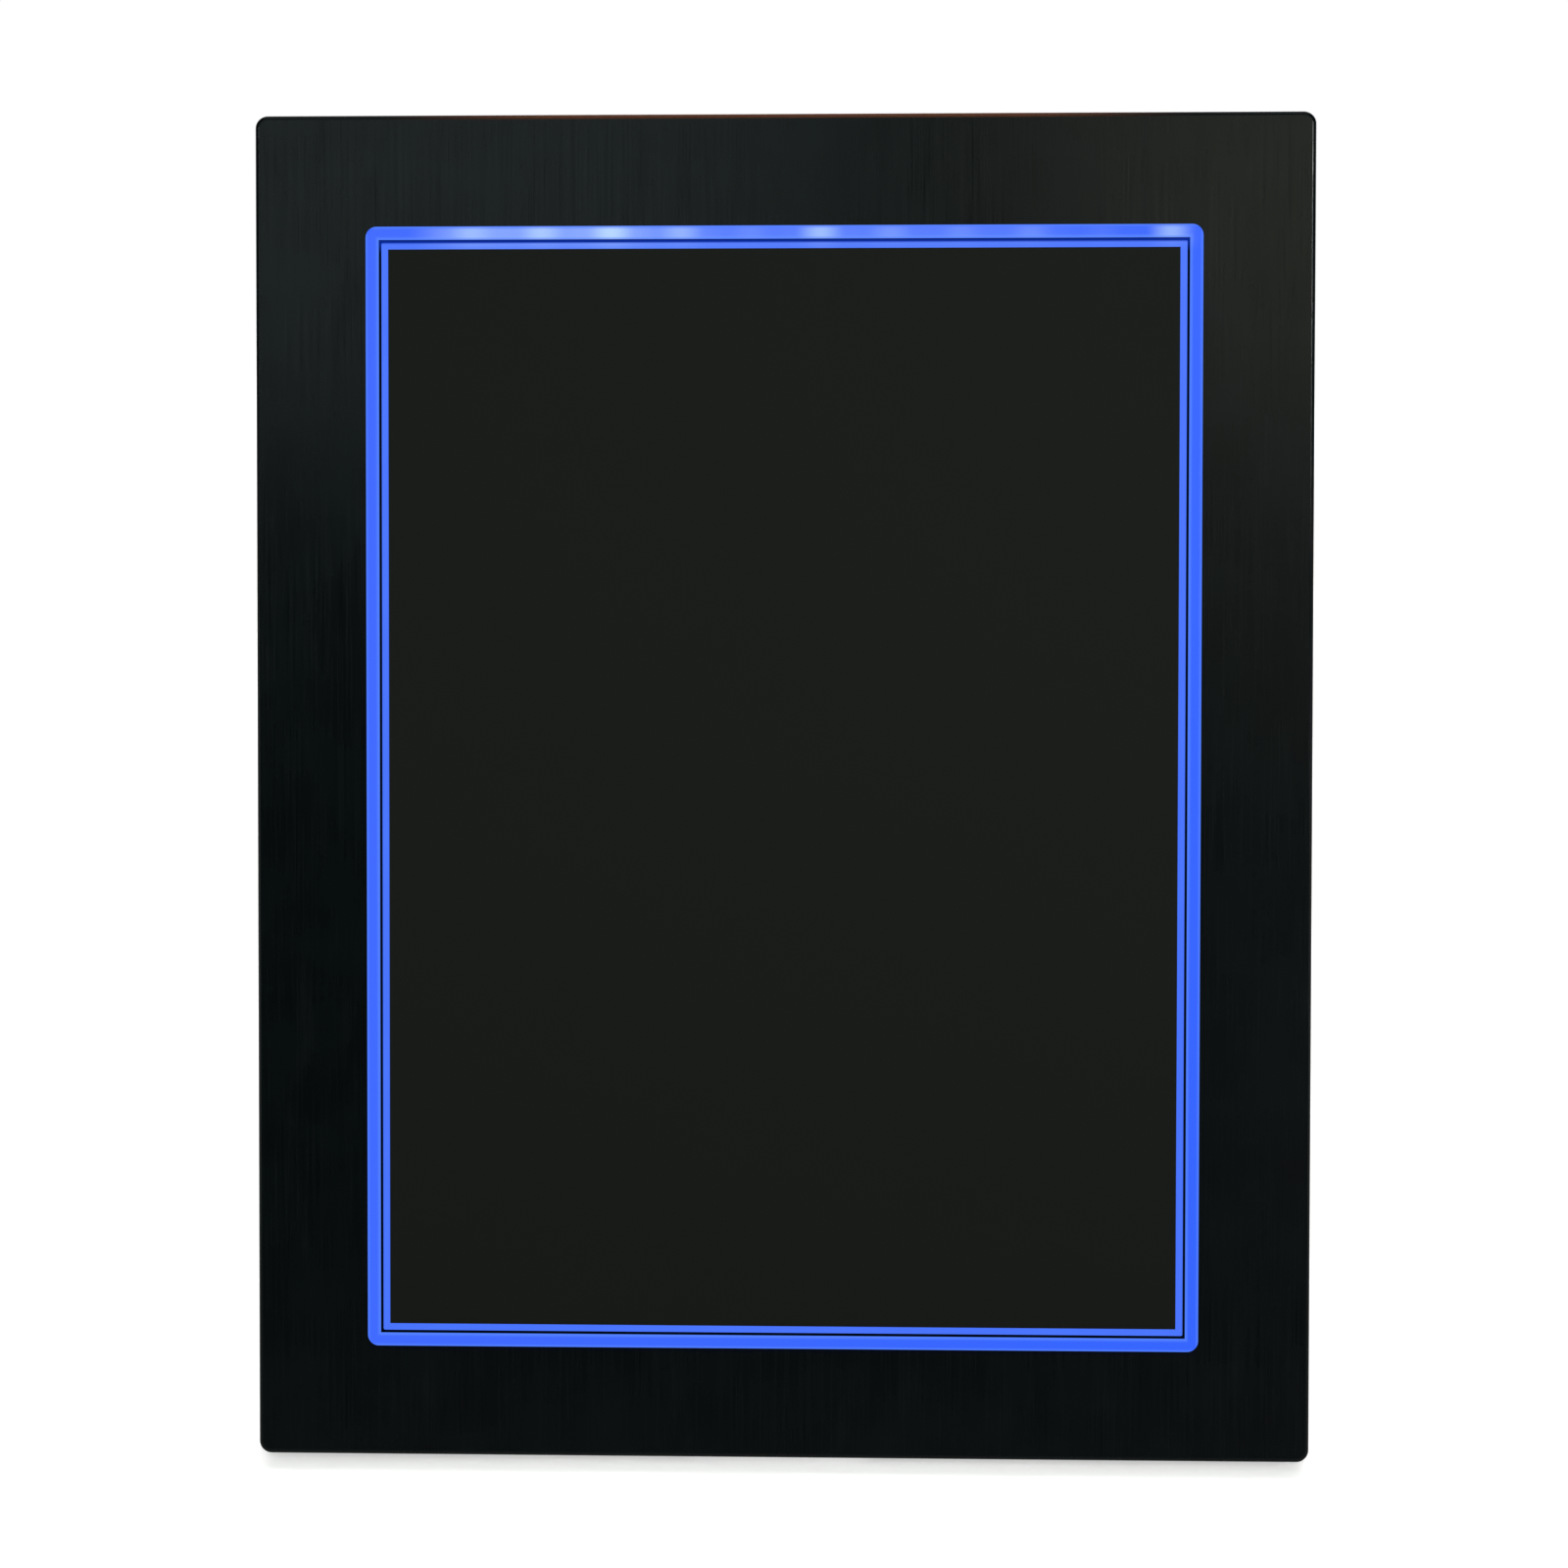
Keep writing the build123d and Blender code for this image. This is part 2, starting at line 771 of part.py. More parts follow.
def base_pad(sign):
    """Rubber wedge under the rear bottom edge, flat on the floor."""
    rear = cover_back - pad_rear_gap
    front = rear - pad_depth
    profile = Polygon(
        (front, pad_sink),
        (front, floor_height(front)),
        (rear, floor_height(rear)),
        (rear, pad_sink),
        align=None,
    )
    return extrude(side_plane(sign * pad_offset - pad_length / 2) * profile, pad_length)


# Hinge and leg
def hinge_bracket():
    """Steel bracket: a plate on the seat and an ear on each side of the leg."""
    width = (-bracket_half_width, bracket_half_width)
    bracket = block(width, (seat_back, bracket_back), (bracket_bottom, bracket_top))
    for sign in (-1, 1):
        inner = sign * (bracket_half_width - ear_thickness)
        across = sorted((inner, sign * bracket_half_width))
        depth = (ear_front, ear_front + 2 * ear_radius)
        bracket += block(across, depth, (hinge_height, bracket_top))
        bracket += cross_rod(ear_radius, *across, pin_depth, hinge_height)
    bracket -= cross_rod(
        pin_radius, -bracket_half_width - overrun, bracket_half_width + overrun, pin_depth, hinge_height
    )
    for x, z in hinge_screw_places():
        bracket -= rod(small_screw_shank_radius, x, z, seat_back - overrun, bracket_back + overrun)
    return bracket


def hinge_screws():
    """Two screws that hold the bracket on its seat."""
    places = hinge_screw_places()
    return joined([small_screw(x, z, bracket_back, hinge_screw_shank_length) for x, z in places])


def hinge_pin():
    """Steel pin with a flat head at each end."""
    end = bracket_half_width + pin_head_thickness
    pin = cross_rod(pin_radius, -end, end, pin_depth, hinge_height)
    pin += cross_rod(pin_head_radius, bracket_half_width, end, pin_depth, hinge_height)
    return pin + cross_rod(pin_head_radius, -end, -bracket_half_width, pin_depth, hinge_height)


def heel_profile():
    """End of the leg past the pin: its front face lies on the pocket's floor when open."""
    opening = math.radians(opening_angle)
    stop = pin_depth - pocket_floor - stop_gap
    half = leg_thickness / 2
    knee = (stop - half * math.cos(opening)) / math.sin(opening)
    toe = (heel_height * math.sin(opening) - stop) / math.cos(opening)
    return Polygon(
        (half, -half),
        (half, heel_height - leg_edge_chamfer),
        (half - leg_edge_chamfer, heel_height),
        (toe, heel_height),
        (-half, knee),
        (-half, -half),
        align=None,
    )


def folded_leg():
    """Leg as it lies in its pocket, about the pin: depth on Y, height on Z."""
    half = leg_thickness / 2
    outline = Pos(0, -leg_body_length / 2) * Rectangle(leg_width, leg_body_length)
    outline = fillet(outline.vertices().group_by(Axis.Y)[0], leg_corner_radius)
    leg = prism(outline, -half, half)
    rear_edges = [edge for edge in edges_at(leg, half) if edge.center().Z < -heel_height]
    leg = chamfer(rear_edges, leg_edge_chamfer)
    leg += extrude(side_plane(-leg_width / 2) * heel_profile(), leg_width)
    leg -= leg_cells()
    leg -= cross_rod(pin_radius + pin_clearance, -leg_width, leg_width, 0, 0)
    half_tongue = tongue_width / 2
    groove_depth = (-tongue_thickness / 2, tongue_thickness / 2)
    groove_rise = (-leg_body_length - overrun, -leg_body_length + tongue_height)
    leg -= block((-half_tongue, half_tongue), groove_depth, groove_rise)
    return leg


def leg_cells():
    """Hollows between the rim and the cross ribs on the leg's inner side."""
    half = leg_width / 2 - leg_rim
    top = -leg_top_rest
    bottom = -leg_body_length + leg_rim + tongue_height
    count = leg_rib_count + 1
    step = (top - bottom + leg_rib_thickness) / count
    depth = (-leg_thickness / 2 - overrun, leg_thickness / 2 - leg_skin)
    cells = []
    for index in range(count):
        low = bottom + index * step
        cells.append(block((-half, half), depth, (low, low + step - leg_rib_thickness)))
    return joined(cells)


def folded_foot_pad():
    """Rubber foot: a block whose end lies flat on the floor, with a tongue in the leg."""
    half = leg_thickness / 2
    drop = half * math.tan(splay)
    profile = Polygon(
        (-half, -leg_body_length),
        (-half, -leg_length + drop),
        (half, -leg_length - drop),
        (half, -leg_body_length),
        align=None,
    )
    pad = extrude(side_plane(-leg_pad_width / 2) * profile, leg_pad_width)
    half_tongue = tongue_width / 2
    tongue_depth = (-tongue_thickness / 2, tongue_thickness / 2)
    tongue_rise = (-leg_body_length, -leg_body_length + tongue_height)
    return pad + block((-half_tongue, half_tongue), tongue_depth, tongue_rise)


def opened(shape):
    """Leg piece turned out of its pocket about the pin."""
    return Pos(0, pin_depth, hinge_height) * Rot(opening_angle, 0, 0) * shape


# Control board, buttons and power inlet
def control_board():
    """Circuit board on four standoffs in the right border."""
    half_width = control_width / 2
    half_length = control_length / 2
    across = (control_x - half_width, control_x + half_width)
    upright = (board_centre_height - half_length, board_centre_height + half_length)
    board = block(across, (control_front, control_back), upright)
    for x, z in control_screw_places():
        board -= rod(small_screw_shank_radius, x, z, control_front - overrun, control_back + overrun)
    return board


def board_screws():
    """Four screws that hold the control board."""
    places = control_screw_places()
    return joined([small_screw(x, z, control_back, small_screw_shank_length) for x, z in places])


def switch_bodies():
    """Push switches, each with a well for its plunger."""
    half = switch_side / 2
    well_front = switch_back - plunger_length + plunger_proud - button_travel - plunger_spare
    bodies = []
    for z in button_heights:
        body = block((control_x - half, control_x + half), (control_back, switch_back), (z - half, z + half))
        well = rod(plunger_radius + plunger_gap, control_x, z, well_front, switch_back + overrun)
        bodies.append(body - well)
    return joined(bodies)


def plunger(z):
    """Plunger of one switch."""
    return rod(plunger_radius, control_x, z, plunger_back - plunger_length, plunger_back)


def button(z):
    """Cap in the cover's hole, a flange behind it, and a stem on the plunger."""
    cap_back = cover_back + button_proud
    cap = rod(button_radius, control_x, z, button_flange_front, cap_back)
    cap = fillet(edges_at(cap, cap_back), button_edge_round)
    dish_radius = button_radius - button_dish_margin
    cap -= rod(dish_radius, control_x, z, cap_back - button_dish_depth, cap_back + overrun)
    flange_radius = button_radius + button_flange_width
    flange_end = button_flange_front + button_flange_thickness
    cap += rod(flange_radius, control_x, z, button_flange_front, flange_end)
    return cap + rod(button_stem_radius, control_x, z, plunger_back, button_flange_front)


def power_jack():
    """Round power inlet: a block on the circuit board with a collar in the cover."""
    base_back = control_back + jack_base_height
    across = (control_x - jack_width / 2, control_x + jack_width / 2)
    upright = (jack_z - jack_length / 2, jack_z + jack_length / 2)
    jack = block(across, (control_back, base_back), upright)
    jack += rod(jack_collar_radius, control_x, jack_z, base_back, jack_back)
    jack -= rod(jack_bore_radius, control_x, jack_z, jack_back - jack_bore_depth, jack_back + overrun)
    seat_front = jack_back - jack_bore_depth - jack_contact_seat
    return jack - rod(jack_contact_radius, control_x, jack_z, seat_front, jack_back)


def jack_contact():
    """Centre contact of the power inlet."""
    front = jack_back - jack_bore_depth - jack_contact_seat
    return rod(jack_contact_radius, control_x, jack_z, front, jack_back - jack_contact_recess)


def wire_header():
    """Block that the feed wires leave."""
    across = (header_inner_x, header_inner_x + header_width)
    half = header_length / 2
    return block(across, (control_back, control_back + header_height), (header_z - half, header_z + half))


def control_chip():
    """Chip that sets the colour and the brightness."""
    z = board_centre_height + chip_rise
    across = (control_x - chip_width / 2, control_x + chip_width / 2)
    upright = (z - chip_length / 2, z + chip_length / 2)
    return block(across, (control_back, control_back + chip_height), upright)


def capacitor():
    """Round capacitor that stands on the circuit board."""
    z = board_centre_height + capacitor_rise
    back = control_back + capacitor_height
    can = rod(capacitor_radius, control_x + capacitor_shift, z, control_back, back)
    return fillet(edges_at(can, back), capacitor_round)


# All pieces in the upright frame
pieces = {
    "face_plate": face_plate(),
    "front_frame": front_frame(),
    "diffuser_ring": diffuser_ring(),
    "seam_gasket": seam_gasket(),
    "light_guide": light_guide(),
    "writing_sheet": writing_sheet(),
    "reflector_sheet": reflector_sheet(),
    "backing_board": backing_board(),
    "foam_strips": foam_strips(),
    "corner_jumpers": corner_jumpers(),
    "feed_wires": feed_wires(),
    "rear_cover": rear_cover(),
    "cover_screws": cover_screws(),
    "keyhole_plate_left": keyhole_plate(-1),
    "keyhole_plate_right": keyhole_plate(1),
    "keyhole_screws": keyhole_screws(),
    "wall_bumpers": wall_bumpers(),
    "base_pad_left": base_pad(-1),
    "base_pad_right": base_pad(1),
    "hinge_bracket": hinge_bracket(),
    "hinge_screws": hinge_screws(),
    "hinge_pin": hinge_pin(),
    "easel_leg": opened(folded_leg()),
    "leg_foot_pad": opened(folded_foot_pad()),
    "control_board": control_board(),
    "control_chip": control_chip(),
    "capacitor": capacitor(),
    "wire_header": wire_header(),
    "switch_bodies": switch_bodies(),
    "board_screws": board_screws(),
    "power_jack": power_jack(),
    "jack_contact": jack_contact(),
}
for side in ("top", "bottom", "left", "right"):
    pieces[f"led_rail_{side}"] = led_rail(side)
    pieces[f"led_board_{side}"] = led_board(side)
    pieces[f"led_chips_{side}"] = led_chips(side)
for name, height in zip(("power", "colour", "brightness"), button_heights):
    pieces[f"{name}_plunger"] = plunger(height)
    pieces[f"{name}_button"] = button(height)

# Leant back on the pads and the leg, with the origin on the floor under the middle
leant = {name: Rot(-lean_angle, 0, 0) * shape for name, shape in pieces.items()}
boxes = [shape.bounding_box() for shape in leant.values()]
middle_y = (min(box.min.Y for box in boxes) + max(box.max.Y for box in boxes)) / 2
floor_z = min(box.min.Z for box in boxes)
for name, shape in leant.items():
    export_step(Pos(0, -middle_y, -floor_z) * shape, f"parts/{name}.step")


def stood(x, y, z):
    """Point of the upright frame as it stands, in metres."""
    y_leant = y * math.cos(lean) + z * math.sin(lean)
    z_leant = z * math.cos(lean) - y * math.sin(lean)
    return [round(value / 1000, 6) for value in (x, y_leant - middle_y, z_leant - floor_z)]


# Places for whoever describes the part
print("leg hinge", stood(0, pin_depth, hinge_height), "opens", opening_angle)
print("inward across the board", [0, round(-math.cos(lean), 6), round(math.sin(lean), 6)])
keyhole_z = keyhole_height() + keyhole_shift()
for sign in (-1, 1):
    print("keyhole", stood(sign * keyhole_offset, cover_back - keyhole_plate_thickness / 2, keyhole_z))
    pad_middle = cover_back - pad_rear_gap - pad_depth / 2
    print("base pad", stood(sign * pad_offset, pad_middle, floor_height(pad_middle)))
print("power inlet", stood(control_x, jack_back, jack_z))
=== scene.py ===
import json
import math

import bmesh
import bpy
from mathutils import Matrix, Vector

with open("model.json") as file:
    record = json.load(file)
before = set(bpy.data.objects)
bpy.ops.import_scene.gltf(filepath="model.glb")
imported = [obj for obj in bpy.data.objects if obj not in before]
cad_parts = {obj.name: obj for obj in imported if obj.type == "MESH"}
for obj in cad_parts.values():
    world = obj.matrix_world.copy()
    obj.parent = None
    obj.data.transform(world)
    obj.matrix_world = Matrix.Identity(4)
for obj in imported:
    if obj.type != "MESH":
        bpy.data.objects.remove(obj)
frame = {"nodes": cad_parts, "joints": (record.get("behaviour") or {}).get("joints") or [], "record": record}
nodes = frame["nodes"]
joints = {joint["name"]: joint for joint in frame["joints"]}
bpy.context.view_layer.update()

# Lengths are in metres. Patterns and the camera are laid out in the board's own frame:
# X across the face, Y from front to back, Z up the face from its bottom edge.
MM = 0.001

# Lights behind the upper side of the ring, from left to right: how strongly each one shows
# as a spot, and how much it washes the ring around it
LED_PITCH = 25 * MM
LED_FIRST = -136.5 * MM
SPOT_SHARES = (0, 0.22, 0.4, 0.5, 0.34, 0.1, 0.52, 0.16, 0.1, 0.12, 0.05, 0.55)
WASH_SHARES = (0, 0.44, 0.4, 0.5, 0.22, 0.1, 0.16, 0.14, 0.12, 0.1, 0.03, 0.02)
SPOT_REACH = 9.5 * MM

# Ring: its width, the band of painted highlight along each of its edges, and the rims where the spots fade
RING_WIDTH = 4.8 * MM
RING_EDGE = 1.4 * MM
OUTER_RIM = 1.6 * MM
OUTER_RIM_SHARE = 0.1
INNER_RIM = 0.9 * MM
INNER_RIM_SHARE = 0.35

# Depths, in front of the face plate, between which painted shade takes over on the ring's walls and their
# glow fades to near black
WALL_SHADE_FRONT = -0.9 * MM
WALL_SHADE_BACK = -0.2 * MM

# Seam inside the ring, and the band below its upper side where a painted shadow makes the guide a darker
# blue
SEAM_WIDTH = 0.8 * MM
SEAM_SHADOW_BAND = 0.8 * MM

# Light guide: faint clouds, and how much of the upper lights reaches it
GUIDE_CLOUD = 30 * MM
GUIDE_SHADES = (0.93, 1.08)
GUIDE_SPOT_LEVEL = 0.15
GUIDE_WASH_LEVEL = 0.42

# Colours of the ring, the guide, the seam and the lights' domes. All colours are linear.
RING_BLUE = (0.046, 0.137, 0.980)
# Paler blue of the painted highlight along the ring's edges
RING_HIGHLIGHT_BLUE = (0.082, 0.212, 0.975)
RING_DEEP_BLUE = (0.030, 0.122, 1.0)
RING_HOT = (0.47, 0.67, 1.0)
# Near black of painted shade: on the ring's walls, on the face below the ring, and on the seam away from its
# painted glow
PAINTED_SHADE_BLACK = (0.0, 0.001, 0.004)
GUIDE_BLUE = (0.064, 0.171, 0.985)
# Darker blue of the painted shadow on the guide below the seam
GUIDE_SHADOW_BLUE = (0.002, 0.025, 0.44)
SEAM_BLACK = (0.0006, 0.0012, 0.003)
# Blue of the painted glow along the seam's upper side
SEAM_GLOW_BLUE = (0.002, 0.022, 0.28)
UNLIT_BLUE = (0.002, 0.004, 0.01)
LENS_BLUE = (0.2, 0.3, 0.6)
LENS_CORE_BLUE = (0.5, 0.65, 1.0)
LENS_RIM_BLUE = (0.08, 0.2, 1.0)

# Brushed face: hairlines over broader streaks, clouds of tone, and patches worn duller
FACE_BLACK = (0.0009, 0.0020, 0.0023)
FACE_SHADES = (0.1, 1.8)
FACE_SHEEN = 0.06
FACE_ROUGHNESS = (0.08, 0.36)
FACE_RELIEF = 0.02 * MM
HAIRLINE_SIZE = (0.28 * MM, 0.28 * MM, 30 * MM)
STREAK_SIZE = (0.8 * MM, 0.8 * MM, 70 * MM)
STREAK_SHARE = 0.55
CLOUD_SIZE = 24 * MM
CLOUD_SHARE = 0.8
PATCH_SIZE = (14 * MM, 14 * MM, 45 * MM)
PATCH_RANGE = (0.55, 0.75)
PATCH_DULLNESS = 0.12

# Painted reflection of a warm light along the upper edge of the face, and painted shadow on the face below
# the ring
EDGE_REFLECTION_BROWN = (0.058, 0.019, 0.008)
REFLECTION_BAND = 2.0 * MM
REFLECTION_HALF_LENGTH = 150 * MM
RING_SHADE = 2.0 * MM
RING_SHADE_SHARE = 0.9

# Writing sheet: a fine tooth, and broad marks of wiping
SHEET_BLACK = (0.0065, 0.0072, 0.0062)
SHEET_SHADES = (0.94, 1.06)
SHEET_ROUGHNESS = (0.7, 0.8)
SHEET_TOOTH = 0.35 * MM
SHEET_RELIEF = 0.01 * MM
WIPE_SIZE = (90 * MM, 90 * MM, 30 * MM)

# Moulded plastic: cast grain and clouds
CAST_GRAIN = 0.45 * MM
CAST_RELIEF = 0.03 * MM
COARSE_GRAIN = 0.8 * MM
COARSE_RELIEF = 0.06 * MM
BUTTON_GRAIN = 0.3 * MM
CHIP_GRAIN = 0.2 * MM
CAST_CLOUD = 35 * MM
CAST_SHADES = (0.85, 1.2)
CAST_SPREAD = (-0.07, 0.07)
FRAME_BLACK = (0.014, 0.014, 0.015)
COVER_BLACK = (0.018, 0.018, 0.019)
CHIP_BLACK = (0.015, 0.015, 0.016)
BUTTON_GREY = (0.05, 0.05, 0.055)

# Smooth plastic: marks of flow and faint ripples
FLOW_SIZE = (6 * MM, 6 * MM, 18 * MM)
FLOW_SHADES = (0.9, 1.1)
FLOW_SPREAD = (-0.06, 0.08)
RIPPLE_SIZE = 0.8 * MM
RIPPLE_RELIEF = 0.01 * MM
REFLECTOR_WHITE = (0.85, 0.85, 0.85)
HEADER_WHITE = (0.75, 0.74, 0.70)
JACK_BLACK = (0.012, 0.012, 0.013)
PLUNGER_BLACK = (0.03, 0.03, 0.03)

# Rubber: dust over a pebbled skin
DUST_SIZE = 7 * MM
DUST_SHADES = (0.8, 1.6)
DUST_ROUGHNESS = (0.7, 0.86)
PEBBLE_SIZE = 0.3 * MM
PEBBLE_RELIEF = 0.03 * MM
BUMPER_BLACK = (0.035, 0.035, 0.037)
PAD_BLACK = (0.022, 0.022, 0.024)

# Metals: stains, and lines along the way that each one was drawn or brushed
STAIN_SIZE = 9 * MM
STAIN_SHADES = (0.82, 1.08)
DRAWN_SPREAD = (-0.08, 0.12)
DRAWN_RELIEF = 0.008 * MM
SCREW_GRAIN = 0.6 * MM
PLATE_GRAIN = (9 * MM, 9 * MM, 0.15 * MM)
PIN_GRAIN = (0.1 * MM, 2 * MM, 2 * MM)
CAN_GRAIN = (0.2 * MM, 4 * MM, 0.2 * MM)
CONTACT_GRAIN = 0.4 * MM
RAIL_GRAIN = (9 * MM, 0.2 * MM, 9 * MM)
SCREW_STEEL = (0.448, 0.448, 0.456)
PLATE_STEEL = (0.403, 0.403, 0.410)
PIN_STEEL = (0.62, 0.62, 0.64)
CAN_ALUMINIUM = (0.65, 0.65, 0.67)
RAIL_ALUMINIUM = (0.75, 0.75, 0.77)
CONTACT_BRASS = (0.8, 0.6, 0.28)

# Backing board, foam, circuit boards, wires and lights
FIBRE_SIZE = (3 * MM, 1 * MM, 0.5 * MM)
FIBRE_RELIEF = 0.05 * MM
FIBRE_DARK = (0.16, 0.09, 0.045)
FIBRE_PALE = (0.32, 0.2, 0.11)
PORE_SIZE = 0.7 * MM
PORE_RELIEF = 0.15 * MM
FOAM_DARK = (0.03, 0.03, 0.032)
FOAM_PALE = (0.13, 0.13, 0.135)
TRACK_PITCH = 6 * MM
TRACK_SHARE = 0.05
TRACK_RELIEF = 0.03 * MM
GREEN_MASK = (0.008, 0.09, 0.035)
GREEN_TRACK = (0.02, 0.17, 0.07)
WHITE_MASK = (0.78, 0.78, 0.76)
WHITE_TRACK = (0.6, 0.55, 0.45)
WIRE_MARK = 2 * MM
WIRE_RELIEF = 0.02 * MM
WIRE_DARK = (0.45, 0.02, 0.02)
WIRE_RED = (0.62, 0.04, 0.03)
LENS_CORE = 3 * MM
LENS_GLOW = 2.0

# Range in which most of a noise lies, the shape of a soft ramp, and a mix's colour sockets
NOISE_RANGE = (0.3, 0.7)
SMOOTH = "SMOOTHSTEP"
MIX_FIRST = 6
MIX_SECOND = 7
MIX_RESULT = 2

# Camera, in the board's frame: a long lens a little above and to the right of the middle.
# The lens and the sensor are in millimetres and the angles in degrees.
FOCAL_LENGTH = 70.0
SENSOR_WIDTH = 36.0
CAMERA_PLACE = (36.5 * MM, -1095.3 * MM, 273.5 * MM)
CAMERA_TILT = 88.46
CAMERA_PAN = 1.87
CAMERA_ROLL = 0.13

# Floor and sky
FLOOR_RADIUS = 30.0
FLOOR_SEGMENTS = 96
FLOOR_COLOUR = (0.80, 0.80, 0.795)
FLOOR_NEAR_GLOW = 0.50
FLOOR_FAR_GLOW = 0.88
FLOOR_NEAR = 0.5
FLOOR_FAR = 2.5
SKY_SEEN = 1.0
SKY_LIGHT = 0.16

# Lights: name, place, target, width and height, power, tint and spread. Softboxes stand in front,
# one broad light is overhead, fills stand at the sides and behind, and two narrow strips light
# the board's upright edges.
WHITE = (1.0, 1.0, 1.0)
CYAN_TINT = (0.84, 1.0, 0.97)
GREEN_TINT = (0.98, 1.0, 0.78)
WIDE = math.radians(180)
NARROW = math.radians(30)
LIGHTS = (
    ("key_right", (0.655, -2.0, 1.45), (0.655, 0.0, 0.42), (0.91, 0.65), 8.0, GREEN_TINT, WIDE),
    ("key_left", (-0.535, -2.0, 1.45), (-0.535, 0.0, 0.42), (1.05, 0.66), 7.3, CYAN_TINT, WIDE),
    ("mid_right", (0.70, -2.0, 0.88), (0.70, 0.0, 0.42), (0.70, 0.30), 0.9, GREEN_TINT, WIDE),
    ("low_right", (0.70, -2.0, 0.40), (0.70, 0.0, 0.42), (0.70, 0.35), 0.7, WHITE, WIDE),
    ("key_high", (0.0, -1.5, 1.85), (0.0, 0.0, 0.42), (2.0, 0.35), 6.0, WHITE, WIDE),
    ("overhead", (0.0, 0.4, 2.6), (0.0, 0.0, 0.0), (2.6, 2.6), 40.0, WHITE, WIDE),
    ("fill_left", (-2.0, -1.0, 0.35), (0.0, 0.0, 0.15), (1.2, 0.6), 6.0, WHITE, WIDE),
    ("fill_right", (2.0, -1.0, 0.35), (0.0, 0.0, 0.15), (0.8, 0.6), 6.0, WHITE, WIDE),
    ("edge_right", (1.27, -1.7, 1.27), (0.19, 0.0, 0.42), (0.16, 0.4), 0.8, WHITE, NARROW),
    ("edge_left", (-1.27, -1.7, 1.27), (-0.19, 0.0, 0.42), (0.16, 0.4), 0.15, WHITE, NARROW),
    ("rear", (0.6, 2.4, 1.4), (0.0, 0.0, 0.25), (1.8, 1.2), 20.0, WHITE, WIDE),
)


def board_frame():
    """Matrix from the board's own frame to the scene's, from a button's axis and the face plate."""
    inward = Vector(joints["power_press"]["axis"])
    lean = math.atan2(inward.z, -inward.y)
    upright = Matrix.Rotation(lean, 4, "X")
    points = [upright @ vertex.co for vertex in nodes["face_plate"].data.vertices]
    corner = Vector((0, min(p.y for p in points), min(p.z for p in points)))
    return upright.inverted() @ Matrix.Translation(corner)


BOARD = board_frame()
TO_BOARD = BOARD.inverted()


def board_box(node):
    """Lowest and highest corners of a node in the board's frame."""
    points = [TO_BOARD @ vertex.co for vertex in nodes[node].data.vertices]
    low = Vector(min(p[axis] for p in points) for axis in range(3))
    high = Vector(max(p[axis] for p in points) for axis in range(3))
    return low, high


# The seam fills the ring, so its corners are those of the ring's inner edge
FACE_TOP = board_box("face_plate")[1].z
INNER_LOW, INNER_HIGH = board_box("seam_gasket")


